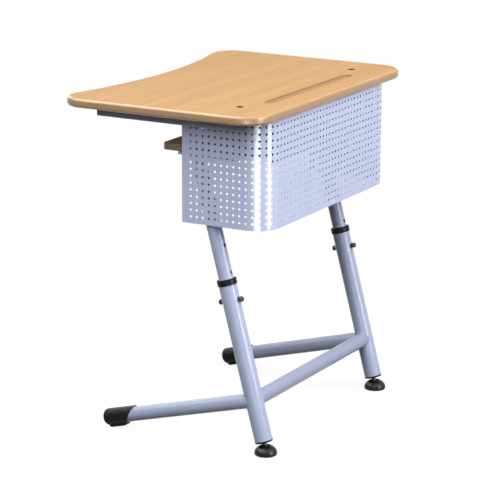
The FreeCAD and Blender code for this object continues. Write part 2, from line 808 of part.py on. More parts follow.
def leg_solid(name, side):
    item = bar(name, "lower_leg_diameter", "lower_leg_length")
    on_leg(item, side, LEG_START)
    return item


def foot_bar(name, side, diameter):
    item = bar(name, diameter, "foot_tube_reach")
    on_leg(item, side, FOOT_STATION, "0", "90")
    return item


def make_foot_tube(side):
    """A tube square to the leg, sloping down to the floor on the user's side."""
    name = f"foot_tube_{side}"
    outer = foot_bar(name + "_outer", side, "foot_tube_diameter")
    bore = foot_bar(name + "_bore", side, "foot_tube_diameter - 2 * foot_tube_wall")
    keep(name, cut(name + "_tube", outer, [bore, leg_solid(name + "_cope", side)]))


def across_bar(name, diameter):
    """A round bar from one leg's axis to the other's, at the foot tubes' station."""
    item = bar(name, diameter, f"2 * {LEG_X}")
    item.Placement = Placement(Vector(), Rotation(Vector(0, 1, 0), 90))
    bind(item, "Placement.Base.x", f"-{LEG_X}")
    bind(item, "Placement.Base.y", leg_y(FOOT_STATION))
    bind(item, "Placement.Base.z", leg_z(FOOT_STATION))
    return item


def make_stretcher():
    """A tube between the legs, coped to each leg and to the foot tube beside it."""
    outer = across_bar("stretcher_outer", "stretcher_diameter")
    tools = [across_bar("stretcher_bore", "stretcher_diameter - 2 * stretcher_wall")]
    for side in SIDES:
        tools.append(leg_solid(f"stretcher_leg_{side}", side))
        tools.append(foot_bar(f"stretcher_foot_{side}", side, "foot_tube_diameter"))
    keep("stretcher", cut("stretcher_tube", outer, tools))


def make_foot_cap(side):
    """A cap on the foot tube's end; its own Z axis runs along the tube, its Y axis along the leg."""
    body = new_body(f"foot_cap_{side}")
    root = f"({CAP_END} - cap_top_length)"
    shell = new_sketch(body, "YZ_Plane")
    outline(shell, [
        ("0", root),
        (CAP_RADIUS, root),
        (CAP_RADIUS, f"{CAP_END} - cap_end_round", "cap_end_round", 1),
        (f"{CAP_RADIUS} - cap_end_round", CAP_END),
        ("0", CAP_END),
    ])
    revolve(body, shell)
    mouth = new_sketch(body, "YZ_Plane")
    slant = "((cap_top_length - cap_bottom_length) / 2)"
    high, low = f"({root} - {slant})", f"({root} + 3 * {slant})"
    outline(mouth, [
        (f"2 * {CAP_RADIUS}", high),
        (f"-2 * {CAP_RADIUS}", low),
        (f"-2 * {CAP_RADIUS}", f"{root} - cap_top_length"),
        (f"2 * {CAP_RADIUS}", f"{root} - cap_top_length"),
    ])
    pocket(body, mouth, "4 * foot_tube_diameter", both_ways=True)

    def floor(along):
        return f"({along} * tan({TILT}) - {FOOT_STATION})"
    sole = f"-({CAP_RADIUS} + cap_pad_depth)"
    flat_end = f"({CAP_PAD_END} - (cap_pad_depth - cap_pad_toe) / tan({TILT}))"
    pad_start = f"({CAP_PAD_END} - cap_pad_length)"
    slope_start = f"({pad_start} - cap_pad_slope)"
    block = new_sketch(body, "YZ_Plane")
    outline(block, [
        (floor(CAP_PAD_END), CAP_PAD_END),
        ("0", CAP_PAD_END),
        ("0", slope_start),
        (f"-{CAP_RADIUS}", slope_start),
        (sole, pad_start),
        (sole, flat_end),
    ])
    pad(body, block, "cap_pad_width", both_ways=True)
    bore = new_sketch(body, "XY_Plane", "foot_tube_reach")
    ring(bore, "foot_tube_diameter")
    pocket(body, bore)
    on_leg(body, side, FOOT_STATION, "0", "90")
    keep(f"foot_cap_{side}", body)


# Levelling feet

def make_leg_plug(side):
    """A plug in the lower leg's end; its bore holds the stem's thread."""
    bore, insert = "stem_diameter / 2 + stem_clearance", f"{LOWER_BORE} / 2"
    rim = "lower_leg_diameter / 2"
    body = turned(f"leg_plug_{side}", [
        (bore, "-leg_plug_flange"),
        (f"{rim} - leg_plug_round", "-leg_plug_flange", "leg_plug_round", 1),
        (rim, "leg_plug_round - leg_plug_flange"),
        (rim, "0"),
        (insert, "0"),
        (insert, "leg_plug_depth"),
        (bore, "leg_plug_depth"),
    ])
    on_leg(body, side, LEG_START)
    keep(f"leg_plug_{side}", body)


def make_stem(side):
    """A threaded stem along the leg's axis, with a neck and a ball in the pad."""
    ball, neck, thread = "ball_diameter / 2", "stem_neck / 2", "stem_diameter / 2"
    meet = f"sqrt(({ball})^2 - ({neck})^2)"
    top = f"{LEG_START} + leg_plug_depth + stem_spare - {BALL_STATION}"
    body = turned(f"levelling_stem_{side}", [
        ("0", f"-{ball}", ball, 1),
        (ball, "0", ball, 1),
        (neck, meet),
        (neck, "stem_neck_length"),
        (thread, f"stem_neck_length + {thread} - {neck}"),
        (thread, top),
        ("0", top),
    ])
    on_leg(body, side, BALL_STATION)
    keep(f"levelling_stem_{side}", body)


def make_pad(side):
    """A domed pad that stands level on the floor and swivels on the stem's ball."""
    rim, widest = "pad_diameter / 2", "pad_widest"
    throat = "(stem_neck / 2 + pad_throat_room)"
    mouth = f"({throat} + pad_mouth_flare)"
    crown = f"({mouth} + pad_rim_width)"
    dome_rise, dome_run = f"(pad_height - {widest})", f"({rim} - {crown})"
    dome = f"(({dome_rise}^2 + {dome_run}^2) / (2 * {dome_run}))"
    socket = "(ball_diameter / 2 + ball_clearance)"
    throat_height = f"(ball_height + sqrt({socket}^2 - {throat}^2))"
    body = turned(f"levelling_pad_{side}", [
        ("0", "0"),
        (f"{rim} - pad_foot_round", "0", "pad_foot_round", 1),
        (rim, "pad_foot_round"),
        (rim, widest, dome, 1),
        (crown, "pad_height"),
        (mouth, "pad_height"),
        (throat, throat_height, socket, -1),
        (socket, "ball_height", socket, -1),
        ("0", f"ball_height - {socket}"),
    ])
    place(body, f"{SIDES[side]} * {LEG_X}", leg_y(BALL_STATION))
    keep(f"levelling_pad_{side}", body)


make_desk_top()
make_cross_rail()
make_panel()
make_shelf()
make_fasteners()
make_stretcher()
for side in SIDES:
    make_rail(side)
    make_panel_tabs(side)
    make_bearer(side)
    make_upper_leg(side)
    make_leg_guide(side)
    make_lower_leg(side)
    make_leg_bush(side)
    make_lock_bosses(side)
    make_foot_tube(side)
    make_foot_cap(side)
    make_leg_plug(side)
    make_stem(side)
    make_pad(side)
    for end in ("front", "user"):
        make_rail_plug(side, end)
        make_lock_screw(side, end)
doc.recompute()

failed = [item.Name for item in doc.Objects if {"Invalid", "Error"} & set(item.State)]
if failed:
    raise RuntimeError("failed objects: " + ", ".join(failed))
for name, item in nodes.items():
    if item.Shape.isNull() or not item.Shape.isValid() or not item.Shape.Solids:
        raise RuntimeError(f"{name}: no valid solid")

os.makedirs("parts", exist_ok=True)
for name, item in nodes.items():
    item.Shape.exportStep(f"parts/{name}.step")
print(len(nodes), "nodes")
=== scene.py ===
import json
import math

import bpy
from mathutils import Matrix, Vector


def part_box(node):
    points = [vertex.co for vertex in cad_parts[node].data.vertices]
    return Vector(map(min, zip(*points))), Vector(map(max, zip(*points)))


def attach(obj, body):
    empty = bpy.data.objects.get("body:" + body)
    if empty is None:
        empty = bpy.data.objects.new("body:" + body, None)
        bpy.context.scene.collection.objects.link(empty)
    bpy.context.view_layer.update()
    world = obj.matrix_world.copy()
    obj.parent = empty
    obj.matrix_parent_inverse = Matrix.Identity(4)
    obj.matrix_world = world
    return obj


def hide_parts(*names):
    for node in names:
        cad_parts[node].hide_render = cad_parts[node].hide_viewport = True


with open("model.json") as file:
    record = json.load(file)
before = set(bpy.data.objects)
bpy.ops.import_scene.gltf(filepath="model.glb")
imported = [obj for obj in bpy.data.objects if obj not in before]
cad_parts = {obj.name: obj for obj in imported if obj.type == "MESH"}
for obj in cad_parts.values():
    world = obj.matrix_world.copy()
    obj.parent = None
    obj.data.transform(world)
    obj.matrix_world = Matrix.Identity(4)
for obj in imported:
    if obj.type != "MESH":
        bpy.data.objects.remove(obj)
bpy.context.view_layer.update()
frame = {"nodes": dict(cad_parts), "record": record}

# Height-adjustable school desk, in metres: +Z up, the user at -Y, the perforated panel at +Y.
NODES = frame["nodes"]
SIDES = {"right": 1, "left": -1}


# Shader nodes

def new_material(name):
    """A material with its node tree and its main shader."""
    material = bpy.data.materials.new(name)
    material.use_nodes = True
    return material, material.node_tree, material.node_tree.nodes["Principled BSDF"]


def add_node(tree, kind, inputs=None, **settings):
    """A node with settings, and with inputs that are values or other nodes' outputs."""
    node = tree.nodes.new(kind)
    for key, value in settings.items():
        setattr(node, key, value)
    for key, value in (inputs or {}).items():
        if isinstance(value, bpy.types.NodeSocket):
            tree.links.new(value, node.inputs[key])
        else:
            node.inputs[key].default_value = value
    return node


def calculate(tree, operation, *values, **settings):
    """The result of a maths node on numbers or other nodes' outputs."""
    inputs = dict(enumerate(values))
    return add_node(tree, "ShaderNodeMath", inputs, operation=operation, **settings).outputs[0]


def product(tree, first, second):
    """Two values multiplied."""
    return calculate(tree, "MULTIPLY", first, second)


def within(tree, value, centre, reach):
    """1 where a value lies within a reach of a centre, and 0 elsewhere."""
    return calculate(tree, "COMPARE", value, centre, reach)


def slope(tree, value, start, end, low=0.0, high=1.0):
    """A number that goes straight from low to high while a value goes from start to end."""
    inputs = {"Value": value, "From Min": start, "From Max": end, "To Min": low, "To Max": high}
    return add_node(tree, "ShaderNodeMapRange", inputs).outputs[0]


def place_of(tree):
    """A surface point's place in the desk's frame."""
    return add_node(tree, "ShaderNodeTexCoord").outputs["Object"]


def axes_of(tree, vector):
    """The X, Y and Z parts of a vector."""
    return add_node(tree, "ShaderNodeSeparateXYZ", {"Vector": vector}).outputs


def noise(tree, scale, detail=3.0, roughness=0.55, distortion=0.0):
    """Noise over the desk's frame, with its own scale along each axis."""
    stretched = {"Vector": place_of(tree), "Scale": scale}
    place = add_node(tree, "ShaderNodeMapping", stretched).outputs["Vector"]
    inputs = {"Vector": place, "Scale": 1.0, "Detail": detail,
              "Roughness": roughness, "Distortion": distortion}
    return add_node(tree, "ShaderNodeTexNoise", inputs).outputs["Fac"]


def ramp(tree, factor, stops):
    """A colour or grey ramp through (position, colour) stops."""
    node = add_node(tree, "ShaderNodeValToRGB", {"Fac": factor})
    elements = node.color_ramp.elements
    while len(elements) < len(stops):
        elements.new(0.5)
    for element, (position, colour) in zip(elements, stops):
        element.position = position
        element.color = (*colour, 1.0) if isinstance(colour, tuple) else (colour, colour, colour, 1.0)
    return node.outputs["Color"]


# The mix node has sockets for each kind of data, and these are the places of those that mix colours
MIX_FACTOR, MIX_FIRST, MIX_SECOND, MIX_RESULT = 0, 6, 7, 2


def mix_colour(tree, factor, first, second, blend="MIX"):
    """Two colours mixed, each a colour or another node's output."""
    node = add_node(tree, "ShaderNodeMix", data_type="RGBA", blend_type=blend)
    for index, value in ((MIX_FACTOR, factor), (MIX_FIRST, first), (MIX_SECOND, second)):
        if isinstance(value, bpy.types.NodeSocket):
            tree.links.new(value, node.inputs[index])
        else:
            node.inputs[index].default_value = value if index == MIX_FACTOR else (*value, 1.0)
    return node.outputs[MIX_RESULT]


def add_bump(tree, shader, height, strength, distance):
    """Fine relief on a shader."""
    inputs = {"Height": height, "Strength": strength, "Distance": distance}
    bump = add_node(tree, "ShaderNodeBump", inputs)
    tree.links.new(bump.outputs["Normal"], shader.inputs["Normal"])


# Wood

# Where painted shade darkens the top: its pen groove and, mirrored, its bolt recess, within the hollows'
# range of heights
GROOVE_Y, GROOVE_HALF_LENGTH, GROOVE_HALF_WIDTH = 0.154, 0.17, 0.0115
GROOVE_LIP_Z, GROOVE_DEEP_Z, GROOVE_SHADE = 0.64995, 0.6496, 0.28
RECESS_PLACE = (0.2235, 0.1295, 0.0)
RECESS_OUTSIDE, RECESS_INSIDE, RECESS_SHADE = 0.0074, 0.0064, 0.95
HOLLOWS_Z, HOLLOWS_REACH = 0.6465, 0.0045
HOLLOW_SHADE_COLOUR = (0.012, 0.008, 0.005)


def hollow_shade(tree):
    """How much painted shade darkens the top in its pen groove, and in and just round its two bolt recesses.
    """
    place = axes_of(tree, place_of(tree))
    along = within(tree, place["X"], 0.0, GROOVE_HALF_LENGTH)
    across = within(tree, place["Y"], GROOVE_Y, GROOVE_HALF_WIDTH)
    deep = slope(tree, place["Z"], GROOVE_LIP_Z, GROOVE_DEEP_Z)
    groove = product(tree, product(tree, product(tree, along, across), deep), GROOVE_SHADE)
    away = calculate(tree, "ABSOLUTE", place["X"])
    spot = add_node(tree, "ShaderNodeCombineXYZ", {"X": away, "Y": place["Y"]}).outputs[0]
    ends = {0: spot, 1: RECESS_PLACE}
    reach = add_node(tree, "ShaderNodeVectorMath", ends, operation="DISTANCE").outputs["Value"]
    recess = slope(tree, reach, RECESS_OUTSIDE, RECESS_INSIDE, high=RECESS_SHADE)
    shade = calculate(tree, "ADD", groove, recess)
    return product(tree, shade, within(tree, place["Z"], HOLLOWS_Z, HOLLOWS_REACH))


def edge_share(tree, full, none):
    """1 on a level board's upright edges and 0 on its flat faces, by how far a face looks up or down."""
    normal = add_node(tree, "ShaderNodeNewGeometry").outputs["Normal"]
    rise = calculate(tree, "ABSOLUTE", axes_of(tree, normal)["Z"])
    return ramp(tree, rise, [(full, 1.0), (none, 0.0)])


def wood_material(name, pale, deep, fleck):
    """Beech with the grain along X: bands, fine fibres, short dark flecks, lacquered edges and painted shade
    on their upright faces.
    """
    material, tree, shader = new_material(name)
    bands = noise(tree, (0.9, 24, 24), detail=3, roughness=0.6, distortion=0.4)
    fibres = noise(tree, (5, 330, 330), detail=4, roughness=0.65)
    flecks = noise(tree, (55, 620, 620), detail=1, roughness=0.4)
    colour = ramp(tree, bands, [(0.32, deep), (0.68, pale)])
    streaks = ramp(tree, fibres, [(0.3, 0.90), (0.7, 1.05)])
    colour = mix_colour(tree, 1.0, colour, streaks, "MULTIPLY")
    fleck_mask = ramp(tree, flecks, [(0.63, 0.0), (0.72, 0.5)])
    colour = mix_colour(tree, fleck_mask, colour, fleck)
    # Painted shade: the upright faces of the edges are darker than the flat top
    edge_painted_shade = product(tree, edge_share(tree, 0.45, 0.9), 0.7)
    colour = mix_colour(tree, edge_painted_shade, colour, tuple(0.6 * share for share in deep))
    # Painted shade, near black, in the pen groove, in the bolt recesses and in a thin ring round each
    hollow = hollow_shade(tree)
    colour = mix_colour(tree, hollow, colour, HOLLOW_SHADE_COLOUR)
    tree.links.new(colour, shader.inputs["Base Color"])
    gloss = ramp(tree, fibres, [(0.3, 0.58), (0.7, 0.50)])
    tree.links.new(gloss, shader.inputs["Roughness"])
    add_bump(tree, shader, fibres, strength=0.12, distance=0.00012)
    lacquer = calculate(tree, "SUBTRACT", edge_share(tree, 0.9, 0.99), hollow, use_clamp=True)
    tree.links.new(lacquer, shader.inputs["Coat Weight"])
    shader.inputs["Coat Roughness"].default_value = 0.3
    shader.inputs["Specular IOR Level"].default_value = 0.03
    return material


# Paint, plastic and steel

# Where the extra gloss of the panel's bends starts, and where it is full
BEND_START_X, BEND_FULL_X = 0.203, 0.213
BEND_START_Y, BEND_FULL_Y = 0.1545, 0.1645


def bend_share(tree):
    """1 on the panel's two bends, fading to 0 on its flat front and wings."""
    place = axes_of(tree, place_of(tree))
    across = slope(tree, calculate(tree, "ABSOLUTE", place["X"]), BEND_START_X, BEND_FULL_X)
    along = slope(tree, place["Y"], BEND_START_Y, BEND_FULL_Y)
    return product(tree, across, along)


def paint_material(name, colour, shade):
    """Satin powder coat: a fine orange peel and a faint change of tone."""
    material, tree, shader = new_material(name)
    tone = ramp(tree, noise(tree, (14, 14, 14)), [(0.3, shade), (0.7, colour)])
    tree.links.new(tone, shader.inputs["Base Color"])
    peel = noise(tree, (750, 750, 750), detail=2, roughness=0.5)
    gloss = ramp(tree, peel, [(0.3, 0.11), (0.7, 0.16)])
    tree.links.new(gloss, shader.inputs["Roughness"])
    add_bump(tree, shader, peel, strength=0.10, distance=0.00008)
    shader.inputs["Specular IOR Level"].default_value = 0.15
    return material


def panel_material(name, colour, shade):
    """The panel's paint, with more gloss on the bends, a choice made so that only they shine white."""
    material = paint_material(name, colour, shade)
    tree = material.node_tree
    shader = tree.nodes["Principled BSDF"]
    tree.links.new(bend_share(tree), shader.inputs["Coat Weight"])
    shader.inputs["Coat Roughness"].default_value = 0.1
    return material


def plastic_material(name, colour, grey, roughness, specular):
    """A moulded plastic with a fine spark-eroded grain."""
    material, tree, shader = new_material(name)
    grain = noise(tree, (1500, 1500, 1500), detail=2, roughness=0.6)
    tone = ramp(tree, noise(tree, (60, 60, 60), detail=4), [(0.35, colour), (0.7, grey)])
    tree.links.new(tone, shader.inputs["Base Color"])
    gloss = ramp(tree, grain, [(0.3, roughness - 0.06), (0.7, roughness + 0.08)])
    tree.links.new(gloss, shader.inputs["Roughness"])
    add_bump(tree, shader, grain, strength=0.18, distance=0.00006)
    shader.inputs["Specular IOR Level"].default_value = specular
    return material


def steel_material(name, colour, shade, roughness):
    """Plated steel with fine cloudy plating marks."""
    material, tree, shader = new_material(name)
    cloud = noise(tree, (380, 380, 380), detail=5, roughness=0.65)
    tone = ramp(tree, cloud, [(0.3, shade), (0.7, colour)])
    tree.links.new(tone, shader.inputs["Base Color"])
    gloss = ramp(tree, cloud, [(0.3, roughness + 0.1), (0.7, roughness)])
    tree.links.new(gloss, shader.inputs["Roughness"])
    add_bump(tree, shader, cloud, strength=0.08, distance=0.00004)
    shader.inputs["Metallic"].default_value = 1.0
    return material


SHEET_COLOURS = {"colour": (0.590, 0.650, 0.880), "shade": (0.565, 0.625, 0.850)}
MATERIALS = {
    "top_wood": wood_material(
        "beech_top", pale=(0.627, 0.376, 0.180), deep=(0.578, 0.335, 0.152), fleck=(0.44, 0.235, 0.09)),
    # The shelf's beech is the top's made darker: painted shade, as the shelf sits in shade under the top
    "shelf_wood": wood_material(
        "beech_shelf_painted_shade", pale=(0.34, 0.208, 0.098), deep=(0.306, 0.180, 0.082), fleck=(0.23, 0.125, 0.05)),
    "silver_paint": paint_material("silver_paint", **SHEET_COLOURS),
    "black_plastic": plastic_material(
        "black_plastic", (0.007, 0.007, 0.008), (0.012, 0.012, 0.013), roughness=0.36, specular=0.08),
    "zinc_steel": steel_material(
        "zinc_steel", (0.42, 0.43, 0.44), (0.33, 0.34, 0.35), roughness=0.28),
    "black_steel": steel_material(
        "black_steel", (0.050, 0.050, 0.053), (0.030, 0.030, 0.032), roughness=0.34),
}
PANEL_PAINT = panel_material("panel_paint", **SHEET_COLOURS)
# Darker copies of the sheet's paint, as painted shade: the tubes darker than the sheet, the stretcher darker
# still
SHADED_TUBE_PAINT = paint_material("tube_paint_painted_shade", (0.475, 0.525, 0.725), (0.450, 0.500, 0.695))
SHADED_STRETCHER_PAINT = paint_material("stretcher_paint_painted_shade", (0.365, 0.404, 0.558), (0.347, 0.384, 0.534))
PAD_PLASTIC = plastic_material(
    "pad_plastic", (0.006, 0.006, 0.007), (0.009, 0.009, 0.010), roughness=0.30, specular=0.2)
BOSS_STEEL = steel_material("boss_steel", (0.170, 0.175, 0.190), (0.125, 0.130, 0.140), roughness=0.38)
SLOT_OF = {part["node"]: part["material_slot"] for part in frame["record"]["subparts"]}


def dress(thing, material):
    """Give an object its only material."""
    thing.data.materials.clear()
    thing.data.materials.append(material)


def node_material(name):
    """A node's finish: tubes and the stretcher carry painted shade, darker than the sheet, pads are
    glossier, and weld nuts paler.
    """
    if name == "stretcher":
        return SHADED_STRETCHER_PAINT
    if name.startswith(("lower_leg", "upper_leg", "foot_tube")):
        return SHADED_TUBE_PAINT
    if name.startswith("levelling_pad"):
        return PAD_PLASTIC
    if name.startswith("lock_bosses"):
        return BOSS_STEEL
    return MATERIALS[SLOT_OF[name]]


for node_name, node in NODES.items():
    dress(node, node_material(node_name))


# Mesh pieces

def mesh_piece(name, points, faces, body, slot, sharp=35, material=None):
    """A mesh in the desk's frame that rides on a body; edges over the sharp angle stay crisp."""
    mesh = bpy.data.meshes.new(name)
    mesh.from_pydata([tuple(point) for point in points], [], faces)
    mesh.validate()
    mesh.polygons.foreach_set("use_smooth", [True] * len(mesh.polygons))
    mesh.set_sharp_from_angle(angle=math.radians(sharp))
    piece = bpy.data.objects.new(name, mesh)
    bpy.context.scene.collection.objects.link(piece)
    dress(piece, material or MATERIALS[slot])
    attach(piece, body)
    return piece


TILT = math.radians(15)
ALONG_LEG = Vector((0, -math.sin(TILT), math.cos(TILT)))
ACROSS_LEG = Vector((0, math.cos(TILT), math.sin(TILT)))
LEG_X = 0.2295
LEG_FOOT_Y = 0.193


def on_leg(side, station):
    """A point on a leg's axis: its station is measured along the axis from the floor."""
    foot = Vector((SIDES[side] * LEG_X, LEG_FOOT_Y, 0))
    return foot + ALONG_LEG * station


def frame_along(origin, axis):
    """A frame at a point whose Z axis is the given direction."""
    return Matrix.Translation(origin) @ axis.to_track_quat("Z", "Y").to_matrix().to_4x4()


# Kinds of socket, and half the width of a cross socket's arm as a share of its reach
HEXAGON, CROSS = 6, 4
CROSS_ARM = 0.22
TINY = 1e-6


def ring_points(count, radius, height, sides=0):
    """A ring of points: round, or with six flats, or a plus sign."""
    points = []
    for index in range(count):
        angle = 2 * math.pi * index / count
        reach = radius
        if sides == HEXAGON:
            reach = radius / math.cos((angle % (math.pi / 3)) - math.pi / 6)
        elif sides == CROSS:
            nearest = (angle + math.pi / 4) % (math.pi / 2) - math.pi / 4
            arm_side = CROSS_ARM * radius / max(abs(math.sin(nearest)), TINY)
            reach = min(radius / math.cos(nearest), arm_side)
        points.append(Vector((reach * math.cos(angle), reach * math.sin(angle), height)))
    return points


def lathe(rings, count=48):
    """Points and faces of a closed turned form: rings are (radius, height) or (radius, height, sides)."""
    points = [point for ring in rings for point in ring_points(count, *ring)]
    faces = []
    for level in range(len(rings) - 1):
        low, high = level * count, (level + 1) * count
        for index in range(count):
            after = (index + 1) % count
            faces.append((low + index, low + after, high + after, high + index))
    faces.append(tuple(reversed(range(count))))
    last = (len(rings) - 1) * count
    faces.append(tuple(range(last, last + count)))
    return points, faces


def joined(parts):
    """Several (points, faces) pairs in one."""
    points, faces = [], []
    for part_points, part_faces in parts:
        shift = len(points)
        points += list(part_points)
        faces += [tuple(index + shift for index in face) for face in part_faces]
    return points, faces


def moved(part, matrix):
    """A (points, faces) pair put in its place."""
    points, faces = part
    return [matrix @ point for point in points], faces


# Top: a copy of the board whose corners are rounder than the solid's

# Half sizes, the scoop's depth, corner radii in the solid and in the copy, and the rounding of the rim
HALF_WIDTH, HALF_DEPTH, SCOOP = 0.307, 0.212, 0.0405
FRONT_SOLID, FRONT_WIDE = 0.027, 0.054
USER_SOLID, USER_WIDE = 0.029, 0.043
EDGE_ROUND, SLACK, TURN_SLACK = 0.0062, 0.0002, 0.01
SCOOP_RADIUS = ((HALF_WIDTH - USER_SOLID) ** 2 / SCOOP + SCOOP) / 2 - USER_SOLID
SCOOP_CENTRE = SCOOP - HALF_DEPTH - SCOOP_RADIUS


def user_corner(radius):
    """Where a user corner's arc has its centre, and its angle as seen from the scoop's centre."""
    x = HALF_WIDTH - radius
    rise = math.sqrt((SCOOP_RADIUS + radius) ** 2 - x ** 2)
    return x, SCOOP_CENTRE + rise, math.atan2(x, rise)


def wider_corner(x, y):
    """Slide a point of the right half's outline to the wider arcs; other points stay."""
    solid_x, solid_y, solid_turn = user_corner(USER_SOLID)
    wide_x, wide_y, wide_turn = user_corner(USER_WIDE)
    reach, turn = math.hypot(x - solid_x, y - solid_y), math.atan2(y - solid_y, x - solid_x)
    last = math.pi / 2 + solid_turn
    on_rim = USER_SOLID - EDGE_ROUND < reach < USER_SOLID + SLACK
    if on_rim and -last - TURN_SLACK < turn < TURN_SLACK:
        turn *= (math.pi / 2 + wide_turn) / last
        reach += USER_WIDE - USER_SOLID
        return wide_x + reach * math.cos(turn), wide_y + reach * math.sin(turn)
    reach, turn = math.hypot(x, y - SCOOP_CENTRE), math.atan2(x, y - SCOOP_CENTRE)
    if SCOOP_RADIUS - SLACK < reach < SCOOP_RADIUS + EDGE_ROUND:
        turn *= wide_turn / solid_turn
        return reach * math.sin(turn), SCOOP_CENTRE + reach * math.cos(turn)
    across, along = x - HALF_WIDTH + FRONT_SOLID, y - HALF_DEPTH + FRONT_SOLID
    reach = math.hypot(across, along)
    on_rim = FRONT_SOLID - EDGE_ROUND < reach < FRONT_SOLID + SLACK
    if on_rim and across > -SLACK and along > -SLACK:
        share = (reach + FRONT_WIDE - FRONT_SOLID) / reach
        return HALF_WIDTH - FRONT_WIDE + across * share, HALF_DEPTH - FRONT_WIDE + along * share
    return x, y


def top_board():
    """The board with wider corners; its shading normals are the solid's."""
    node = NODES["desk_top"]
    mesh = node.data.copy()
    mesh.transform(node.matrix_world)
    normals = [tuple(corner.vector) for corner in mesh.corner_normals]
    for vertex in mesh.vertices:
        x, y = wider_corner(abs(vertex.co.x), vertex.co.y)
        vertex.co.x, vertex.co.y = math.copysign(x, vertex.co.x), y
    mesh.normals_split_custom_set(normals)
    piece = bpy.data.objects.new("top_board", mesh)
    bpy.context.scene.collection.objects.link(piece)
    dress(piece, MATERIALS["top_wood"])
    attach(piece, "upper_frame")
    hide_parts("desk_top")


# Perforated panel: the flat sheet is laid out as square cells, each with a round hole, and then bent

PANEL_CORNER, PANEL_SHEET = 0.045, 0.0012
MIDDLE_RADIUS = PANEL_CORNER - PANEL_SHEET / 2
HOLE_PITCH, HOLE_RADIUS, HOLE_BREAKOUT = 0.01275, 0.0022, 0.0005
HOLE_ROWS, HOLE_COLUMNS, FIRST_ROW_Z = 15, 62, 0.44165
CELL_STEPS = 4
SHEET_SHARP = 40


def panel_point(along, height, depth, half, front):
    """A point of the bent sheet: along is measured on its middle surface from the centre of the front."""
    flat = half - PANEL_CORNER
    bend = MIDDLE_RADIUS * math.pi / 2
    side = 1 if along >= 0 else -1
    run = abs(along)
    if run <= flat:
        return Vector((along, front - depth, height))
    if run <= flat + bend:
        angle = (run - flat) / MIDDLE_RADIUS
        reach = PANEL_CORNER - depth
        x = side * (flat + reach * math.sin(angle))
        return Vector((x, front - PANEL_CORNER + reach * math.cos(angle), height))
    return Vector((side * (half - depth), front - PANEL_CORNER - (run - flat - bend), height))


def perforated_panel():
    """The panel with round holes, each a little wider at the back where the punch broke out."""
    low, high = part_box("perforated_panel")
    half, front = high.x, high.y
    reach = half - PANEL_CORNER + MIDDLE_RADIUS * math.pi / 2 + front - PANEL_CORNER - low.y
    left = -HOLE_COLUMNS * HOLE_PITCH / 2
    bottom = FIRST_ROW_Z - HOLE_PITCH / 2
    step_count = HOLE_COLUMNS * CELL_STEPS
    along = [-reach] + [left + HOLE_PITCH * k / CELL_STEPS for k in range(step_count + 1)] + [reach]
    step_count = HOLE_ROWS * CELL_STEPS
    height = [low.z] + [bottom + HOLE_PITCH * k / CELL_STEPS for k in range(step_count + 1)] + [high.z]
    flat_points, back_points, index_of, outer = [], [], {}, []

    def vertex(a, b, back=None):
        """The index of a point of the flat sheet, which is added when it is new."""
        key = (round(a, 7), round(b, 7))
        if key not in index_of:
            index_of[key] = len(flat_points)
            flat_points.append((a, b))
            back_points.append(back or (a, b))
        return index_of[key]

    # Plain margin round the field of holes
    last_a, last_b = len(along) - 2, len(height) - 2
    for i in range(last_a + 1):
        for j in range(last_b + 1):
            if i in (0, last_a) or j in (0, last_b):
                corners = ((i, j), (i + 1, j), (i + 1, j + 1), (i, j + 1))
                outer.append(tuple(vertex(along[a], height[b]) for a, b in corners))

    # Square cells, each a ring of faces between its rim and its hole
    holes = []
    rim = [(k, 0) for k in range(CELL_STEPS)] + [(CELL_STEPS, k) for k in range(CELL_STEPS)]
    rim += [(CELL_STEPS - k, CELL_STEPS) for k in range(CELL_STEPS)]
    rim += [(0, CELL_STEPS - k) for k in range(CELL_STEPS)]
    for column in range(HOLE_COLUMNS):
        for row in range(HOLE_ROWS):
            centre = (left + (column + 0.5) * HOLE_PITCH, bottom + (row + 0.5) * HOLE_PITCH)
            edge, hole = [], []
            for a, b in rim:
                square = (along[1 + column * CELL_STEPS + a], height[1 + row * CELL_STEPS + b])
                offset = Vector((square[0] - centre[0], square[1] - centre[1]))
                offset.normalize()
                face = (centre[0] + offset.x * HOLE_RADIUS, centre[1] + offset.y * HOLE_RADIUS)
                back = (face[0] + offset.x * HOLE_BREAKOUT, face[1] + offset.y * HOLE_BREAKOUT)
                edge.append(vertex(*square))
                hole.append(vertex(*face, back))
            for k in range(len(rim)):
                after = (k + 1) % len(rim)
                outer.append((edge[k], edge[after], hole[after], hole[k]))
            holes.append(hole)

    # Front and back faces, then the walls of the holes and of the border
    count = len(flat_points)
    points = [panel_point(a, b, 0.0, half, front) for a, b in flat_points]
    points += [panel_point(a, b, PANEL_SHEET, half, front) for a, b in back_points]
    faces = [tuple(reversed(face)) for face in outer]
    faces += [tuple(k + count for k in face) for face in outer]
    border = [vertex(a, height[0]) for a in along] + [vertex(along[-1], b) for b in height[1:]]
    border += [vertex(a, height[-1]) for a in along[-2::-1]]
    border += [vertex(along[0], b) for b in height[-2:0:-1]]
    for loop in holes + [border[::-1]]:
        for k, here in enumerate(loop):
            after = loop[(k + 1) % len(loop)]
            faces.append((here, here + count, after + count, after))
    piece = mesh_piece("panel_sheet", points, faces, "upper_frame", "silver_paint", SHEET_SHARP, PANEL_PAINT)
    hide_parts("perforated_panel")


# Fasteners

def domed_head(radius, height, socket, sides, base=0.0):
    """Rings of a domed head with a drive socket, from its underside up."""
    underside, edge_start, edge_end, dome_rise = 0.94, 0.06, 0.25, 0.75
    crown, fall = 0.42, 0.58
    mouth, mouth_drop, floor_depth, cone_depth, cone_end = 1.22, 0.0003, 0.5, 0.62, 0.4
    rings = [(radius * underside, base), (radius, base + edge_start * height)]
    rings.append((radius, base + edge_end * height))
    for share in (0.3, 0.55, 0.75, 0.9):
        angle = share * math.pi / 2
        ring_radius = radius * (crown + fall * math.cos(angle))
        rings.append((ring_radius, base + height * (edge_end + dome_rise * math.sin(angle))))
    top = base + height
    rings += [(socket * mouth, top), (socket, top - mouth_drop, sides)]
    rings += [(socket, top - floor_depth * height, sides), (socket * cone_end, top - cone_depth * height)]
    return rings


LOCK_STATION = 0.297


